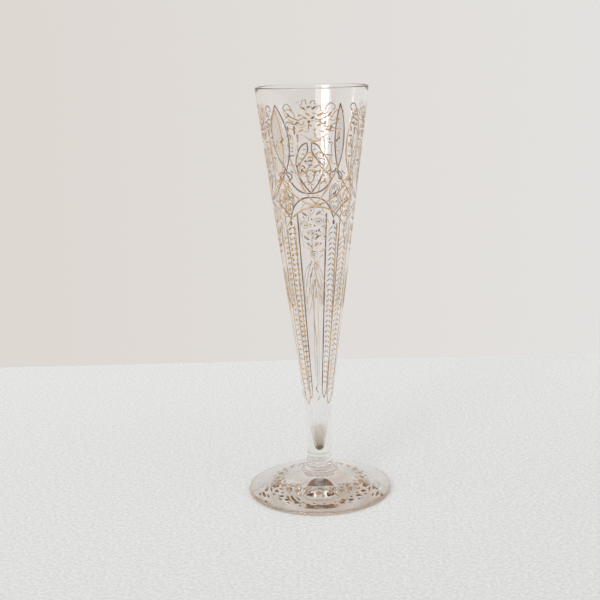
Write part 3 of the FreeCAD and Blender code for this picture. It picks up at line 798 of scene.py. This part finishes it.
def foot_spots(name, node, ring_radius, spot_radius, offset):
    """Ring of low domes of gold sunk a little into the sloping top of the foot."""
    verts = []
    faces = []
    slots = []
    around = 20
    crown = 0.13
    sunk = 0.05
    rings = ((1.0, 0.0), (0.8, 0.55), (0.45, 0.9))
    tilt = math.atan(FOOT_SLOPE)
    for i in range(BEADS):
        azimuth = math.radians(FIRST_BEAD + (i + offset) * 360 / BEADS + random.uniform(-1.2, 1.2))
        radius = spot_radius * random.uniform(0.9, 1.08)
        oval = random.uniform(0.94, 1.06)
        lobes = random.uniform(0, 6.28)
        middle = ring_radius + random.uniform(-0.2, 0.2)

        def spot_point(across, outward, height):
            r = middle + outward * math.cos(tilt) + height * math.sin(tilt)
            z = foot_top(middle) - outward * math.sin(tilt) + height * math.cos(tilt)
            x = across * math.cos(azimuth) + r * math.sin(azimuth)
            y = across * math.sin(azimuth) - r * math.cos(azimuth)
            return (x * MM, y * MM, z * MM)

        base = len(verts)
        for share, lift in ((0.97, -1.0),) + rings:
            height = lift * (crown if lift > 0 else sunk)
            for k in range(around):
                angle = 2 * math.pi * k / around
                reach = radius * share * (1 + 0.03 * math.sin(2 * angle + lobes))
                verts.append(spot_point(reach * oval * math.cos(angle), reach * math.sin(angle), height))
        verts.append(spot_point(0, 0, crown))
        verts.append(spot_point(0, 0, -0.05))
        top = len(verts) - 2
        for k in range(around):
            following = (k + 1) % around
            for ring in range(len(rings)):
                low = base + ring * around
                high = low + around
                faces.append((low + k, low + following, high + following, high + k))
                slots.append(1 if ring == 0 else 0)
            last = base + len(rings) * around
            faces.append((last + k, last + following, top))
            slots.append(0)
            faces.append((base + following, base + k, top + 1))
            slots.append(1)
    obj = new_object(name, verts, faces, [FOOT_GOLD, GOLD_BACK], slots)
    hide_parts(node)
    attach(obj, "root")
    return obj


# ---- glass ----
def glass_profile():
    """Outline of the whole glass from the pontil hollow round to the tip of the cavity."""
    lip_z = HEIGHT - RIM_THICKNESS / 2
    outer_lip = (bowl_radius(lip_z), lip_z)
    inner_lip = (cavity_radius(lip_z), lip_z)
    hollow = arc((0, PONTIL_DEPTH), (PONTIL_RADIUS * 0.72, PONTIL_DEPTH * 0.5), (PONTIL_RADIUS, 0), 16)
    edge = arc((FOOT_CONE_RADIUS - 0.3, 0), (FOOT_RADIUS, 0.95), (FOOT_CONE_RADIUS, FOOT_EDGE), 16)
    flare_start = (FOOT_FLARE_RADIUS, foot_top(FOOT_FLARE_RADIUS))
    flare_middle = ((FOOT_FLARE_RADIUS + SEAT_RADIUS) / 2, (flare_start[1] + SEAT) / 2 - 0.25)
    flare = arc(flare_start, flare_middle, (SEAT_RADIUS, SEAT), 12)
    button = arc((SEAT_RADIUS, SEAT), (9.2, 10.8), BUTTON_TOP, 12)
    neck = arc(BUTTON_TOP, (7.5, 11.8), (6.9, COLLAR_BOTTOM), 8)
    rings = (arc((6.9, COLLAR_BOTTOM), (7.1, 13.1), (6.45, 13.9), 8)[1:]
             + arc((6.45, 13.9), (6.6, 14.9), (6.05, 15.7), 8)[1:]
             + arc((6.05, 15.7), (6.3, 16.8), (5.95, BOWL_BOTTOM), 8)[1:])
    shank = [tuple(p) for p in smooth([(5.95, BOWL_BOTTOM), (6.2, 29.0), (6.55, 39.5),
                                       (bowl_radius(44), 44), (bowl_radius(50), 50)], 1.0)[1:]]
    wall = [(bowl_radius(z), z) for z in np.linspace(50, lip_z, 60)[1:]]
    lip = arc(outer_lip, ((outer_lip[0] + inner_lip[0]) / 2, HEIGHT), inner_lip, 12)[1:]
    inside = [(cavity_radius(z), z) for z in np.linspace(lip_z, 25.2, 70)[1:]]
    tip = [tuple(p) for p in smooth([(cavity_radius(25.2), 25.2), (1.45, 22.7), (0.75, 21.3),
                                     (0, CAVITY_TIP)], 0.2)[1:]]
    flat = [(r, 0) for r in np.linspace(PONTIL_RADIUS, FOOT_CONE_RADIUS - 0.3, 10)[1:-1]]
    slope = [(r, foot_top(r)) for r in np.linspace(FOOT_CONE_RADIUS, FOOT_FLARE_RADIUS, 12)[1:-1]]
    return (hollow + flat + edge + slope + flare + button[1:] + neck[1:] + rings + shank + wall + lip
            + inside + tip)


def glass_body():
    glass = lathe("glass_body", glass_profile(), 256, GLASS)
    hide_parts("bowl", "collar", "foot_button", "foot")
    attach(glass, "root")
    return glass


def residue():
    """Thin film lining the bottom of the cavity, stuck to the glass, with an uneven tide line."""
    bite = 0.03
    thick = 0.07
    around = 96
    tip = [tuple(p) for p in smooth([(0, CAVITY_TIP), (0.75, 21.3), (1.45, 22.7),
                                     (cavity_radius(25.2), 25.2)], 0.25)[1:]]
    wall = [(cavity_radius(z), z) for z in np.linspace(25.6, 40, 40)]
    outline = tip + wall
    verts = [(0, 0, (CAVITY_TIP - bite) * MM), (0, 0, (CAVITY_TIP + thick) * MM)]
    faces = []
    for offset in (bite, bite - thick):
        for r, z in outline:
            for k in range(around):
                angle = 2 * math.pi * k / around
                reach = max(0.02, r + offset)
                verts.append((reach * MM * math.sin(angle), -reach * MM * math.cos(angle), z * MM))
    rows = len(outline)
    for k in range(around):
        following = (k + 1) % around
        for sheet in range(2):
            first = 2 + sheet * rows * around
            corners = [(sheet, first + following, first + k)]
            for row in range(rows - 1):
                low = first + row * around
                high = low + around
                corners.append((low + k, low + following, high + following, high + k))
            faces += corners if sheet == 0 else [tuple(reversed(f)) for f in corners]
        top = 2 + (rows - 1) * around
        inner = top + rows * around
        faces.append((top + k, top + following, inner + following, inner + k))
    film = new_object("dried_residue", verts, faces, [residue_material()])
    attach(film, "root")
    return film


def pontil_hollow(radius):
    """Height of the hollow's surface above the table."""
    return PONTIL_DEPTH * (1 - (radius / PONTIL_RADIUS) ** 2)


def patch_material():
    """Brown patch in the pontil hollow, in streaks, thickest at its two ends."""
    material, nodes, links, shader = principled("pontil_brown_patch")
    coords = nodes.new("ShaderNodeTexCoord")
    split = nodes.new("ShaderNodeSeparateXYZ")
    links.new(coords.outputs["Object"], split.inputs["Vector"])
    from_middle = nodes.new("ShaderNodeMath")
    from_middle.operation = "ABSOLUTE"
    links.new(split.outputs["X"], from_middle.inputs[0])
    out = nodes.new("ShaderNodeMapRange")
    out.inputs["From Max"].default_value = PATCH_HALF * MM
    links.new(from_middle.outputs["Value"], out.inputs["Value"])
    streaks = noise(nodes, links, 700, 3, (1, 0.25, 1))
    colour = ramp(nodes, links, out.outputs["Result"], [
        (0.45, (0.20, 0.14, 0.11)), (0.8, (0.42, 0.17, 0.07)), (1.0, (0.62, 0.30, 0.14))])
    links.new(colour.outputs["Color"], shader.inputs["Base Color"])
    cover = nodes.new("ShaderNodeMath")
    cover.operation = "MULTIPLY_ADD"
    cover.inputs[1].default_value = 0.5
    links.new(out.outputs["Result"], cover.inputs[0])
    links.new(streaks.outputs["Fac"], cover.inputs[2])
    film = ramp(nodes, links, cover.outputs["Value"], [
        (0.4, (0.12,) * 3), (0.62, (0.55,) * 3), (0.95, (0.9,) * 3)])
    links.new(film.outputs["Color"], shader.inputs["Alpha"])
    shader.inputs["Roughness"].default_value = 0.7
    return material


def pontil_patch():
    """Brown D-shaped patch in the pontil hollow: straight edge to the front."""
    across = 40
    along = 16
    verts = []
    for sheet in (0, 1):
        for i in range(across + 1):
            x = PATCH_HALF * (2 * i / across - 1) * 0.998
            reach = PATCH_DEPTH * (1 - (x / PATCH_HALF) ** 2) + 0.05
            for j in range(along + 1):
                y = PATCH_FRONT + 0.35 * (x / PATCH_HALF) ** 2 + reach * j / along
                surface = max(0, pontil_hollow(math.hypot(x, y)))
                verts.append((x * MM, y * MM, (surface + 0.03 if sheet else max(0, surface - 0.02)) * MM))
    row = along + 1
    count = (across + 1) * row
    faces = []
    for i in range(across):
        for j in range(along):
            a = i * row + j
            quad = (a, a + row, a + row + 1, a + 1)
            faces.append(tuple(reversed(quad)))
            faces.append(tuple(v + count for v in quad))
    border = ([i * row for i in range(across + 1)]
              + [across * row + j for j in range(1, along + 1)]
              + [i * row + along for i in range(across - 1, -1, -1)]
              + [j for j in range(along - 1, 0, -1)])
    for a, b in zip(border, border[1:] + border[:1]):
        faces.append((a, b, b + count, a + count))
    patch = new_object("pontil_brown_patch", verts, faces, [patch_material()])
    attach(patch, "root")
    return patch


# ---- studio ----
def table_material():
    """Pale plaster with a fine speckle, and painted light: its colour is raised a little towards the back."""
    material, nodes, links, shader = principled("plaster_table")
    grain = noise(nodes, links, 650, 4)
    speckle = ramp(nodes, links, grain.outputs["Fac"], [
        (0.35, (0.68, 0.705, 0.72)), (0.65, (0.82, 0.845, 0.86))])
    coords = nodes.new("ShaderNodeTexCoord")
    split = nodes.new("ShaderNodeSeparateXYZ")
    links.new(coords.outputs["Object"], split.inputs["Vector"])
    # painted light: the plaster's colour is scaled from 0.93 times at the front to 1.1 times at the back
    depth = nodes.new("ShaderNodeMapRange")
    depth.inputs["From Min"].default_value = -0.3
    depth.inputs["From Max"].default_value = 0.2
    depth.inputs["To Min"].default_value = 0.93
    depth.inputs["To Max"].default_value = 1.1
    links.new(split.outputs["Y"], depth.inputs["Value"])
    painted_back_light = nodes.new("ShaderNodeVectorMath")
    painted_back_light.operation = "SCALE"
    links.new(speckle.outputs["Color"], painted_back_light.inputs[0])
    links.new(depth.outputs["Result"], painted_back_light.inputs["Scale"])
    links.new(painted_back_light.outputs["Vector"], shader.inputs["Base Color"])
    shader.inputs["Roughness"].default_value = 0.8
    bump(nodes, links, grain.outputs["Fac"], shader, 0.4, 0.0004)
    return material


def table():
    """Plain pale top that ends a little behind the flute, a hair below the foot."""
    half_width = 2.5
    front = -0.42
    back = 0.235
    below = -0.00005
    verts = [(-half_width, front, below), (half_width, front, below),
             (half_width, back, below), (-half_width, back, below)]
    new_object("table", verts, [(0, 1, 2, 3)], [table_material()])


def room():
    """Pale wall behind the flute, and a darker room with a light ceiling on the camera's side."""
    world = bpy.data.worlds.new("studio")
    bpy.context.scene.world = world
    world.use_nodes = True
    nodes = world.node_tree.nodes
    links = world.node_tree.links
    coords = nodes.new("ShaderNodeTexCoord")
    split = nodes.new("ShaderNodeSeparateXYZ")
    links.new(coords.outputs["Generated"], split.inputs["Vector"])

    def across(axis, low, high, stops):
        spread = nodes.new("ShaderNodeMapRange")
        spread.inputs["From Min"].default_value = low
        spread.inputs["From Max"].default_value = high
        links.new(split.outputs[axis], spread.inputs["Value"])
        return ramp(nodes, links, spread.outputs["Result"], stops).outputs["Color"]

    def mixed(kind, factor, first, second):
        node = nodes.new("ShaderNodeMix")
        node.data_type = "RGBA"
        node.blend_type = kind
        node.inputs["Factor"].default_value = 1
        if factor:
            links.new(factor, node.inputs["Factor"])
        links.new(first, node.inputs["A"])
        links.new(second, node.inputs["B"])
        return node.outputs["Result"]

    wall = across("X", -0.3, 0.3, [(0, (0.363, 0.338, 0.318)), (1, (0.387, 0.380, 0.372))])
    behind = mixed("MULTIPLY", None, wall, across("Z", 0.0, 1.0, [
        (0.12, (1,) * 3), (0.4, (0.86, 0.82, 0.79)), (0.7, (0.7, 0.66, 0.63)), (0.95, (0.7,) * 3)]))
    near = across("Z", -0.2, 1.0, [
        (0.0, (0.21, 0.175, 0.15)), (0.35, (0.2, 0.175, 0.155)),
        (0.55, (0.6, 0.59, 0.575)), (0.9, (0.68,) * 3)])
    forward = across("Y", -0.3, 0.3, [(0.0, (0,) * 3), (1.0, (1,) * 3)])
    links.new(mixed("MIX", forward, near, behind), nodes["Background"].inputs["Color"])
    nodes["Background"].inputs["Strength"].default_value = 2


def area_light(name, azimuth, elevation, distance, width, height, power):
    """Rectangular light aimed at the middle of the flute."""
    data = bpy.data.lights.new(name, "AREA")
    data.shape = "RECTANGLE"
    data.size = width
    data.size_y = height
    data.energy = power
    light = bpy.data.objects.new(name, data)
    bpy.context.scene.collection.objects.link(light)
    target = Vector((0, 0, HEIGHT * MM / 2))
    a = math.radians(azimuth)
    e = math.radians(elevation)
    away = Vector((math.sin(a) * math.cos(e), -math.cos(a) * math.cos(e), math.sin(e)))
    light.location = target + away * distance
    light.rotation_euler = away.to_track_quat("Z", "Y").to_euler()


def lights():
    """A window on the left, and the wider, dimmer glow of the blind round it."""
    area_light("window", -31, 17, 1.6, 0.45, 0.42, 3.6)
    area_light("blind", -27, 17, 1.7, 1.1, 0.42, 3.2)


def camera():
    """In front, a little left and above, looking down about 13 degrees with a slight roll."""
    data = bpy.data.cameras.new("camera")
    data.sensor_width = 36
    data.lens = 67.44
    data.clip_start = 0.01
    cam = bpy.data.objects.new("camera", data)
    bpy.context.scene.collection.objects.link(cam)
    pitch = math.radians(90 - 12.92)
    roll = math.radians(-1.42)
    turn = Matrix.Rotation(pitch, 4, "X") @ Matrix.Rotation(roll, 4, "Z")
    cam.matrix_world = Matrix.Translation((-7.87 * MM, -533.5 * MM, 220 * MM)) @ turn
    bpy.context.scene.camera = cam


camera()
table()
room()
lights()
glass_body()
residue()
pontil_patch()
for paint in (lancet_frames, lancet_lattices, lancet_leaves, lancet_volutes, swags, arches, medallion_rings,
              medallion_rosettes, shields, shield_flowers, scrolls, bouquets, bouquet_ties, streamers, stems,
              column_lines, chevrons, column_drops):
    paint()
foot_spots("painted_foot_beads", "gilt_foot_beads", 20.9, 1.32, 0)
foot_spots("painted_inner_seeds", "gilt_inner_seeds", 18.5, 0.7, 0.5)
foot_spots("painted_outer_seeds", "gilt_outer_seeds", 23.2, 0.7, 0.5)

# light needs many bounces to get through four walls of glass and back out of the foot
bounces = 24
bpy.context.scene.view_settings.view_transform = "Standard"
bpy.context.scene.cycles.max_bounces = bounces
bpy.context.scene.cycles.transmission_bounces = bounces
bpy.context.scene.cycles.glossy_bounces = bounces
bpy.context.scene.cycles.transparent_max_bounces = bounces
bpy.context.scene.cycles.blur_glossy = 0
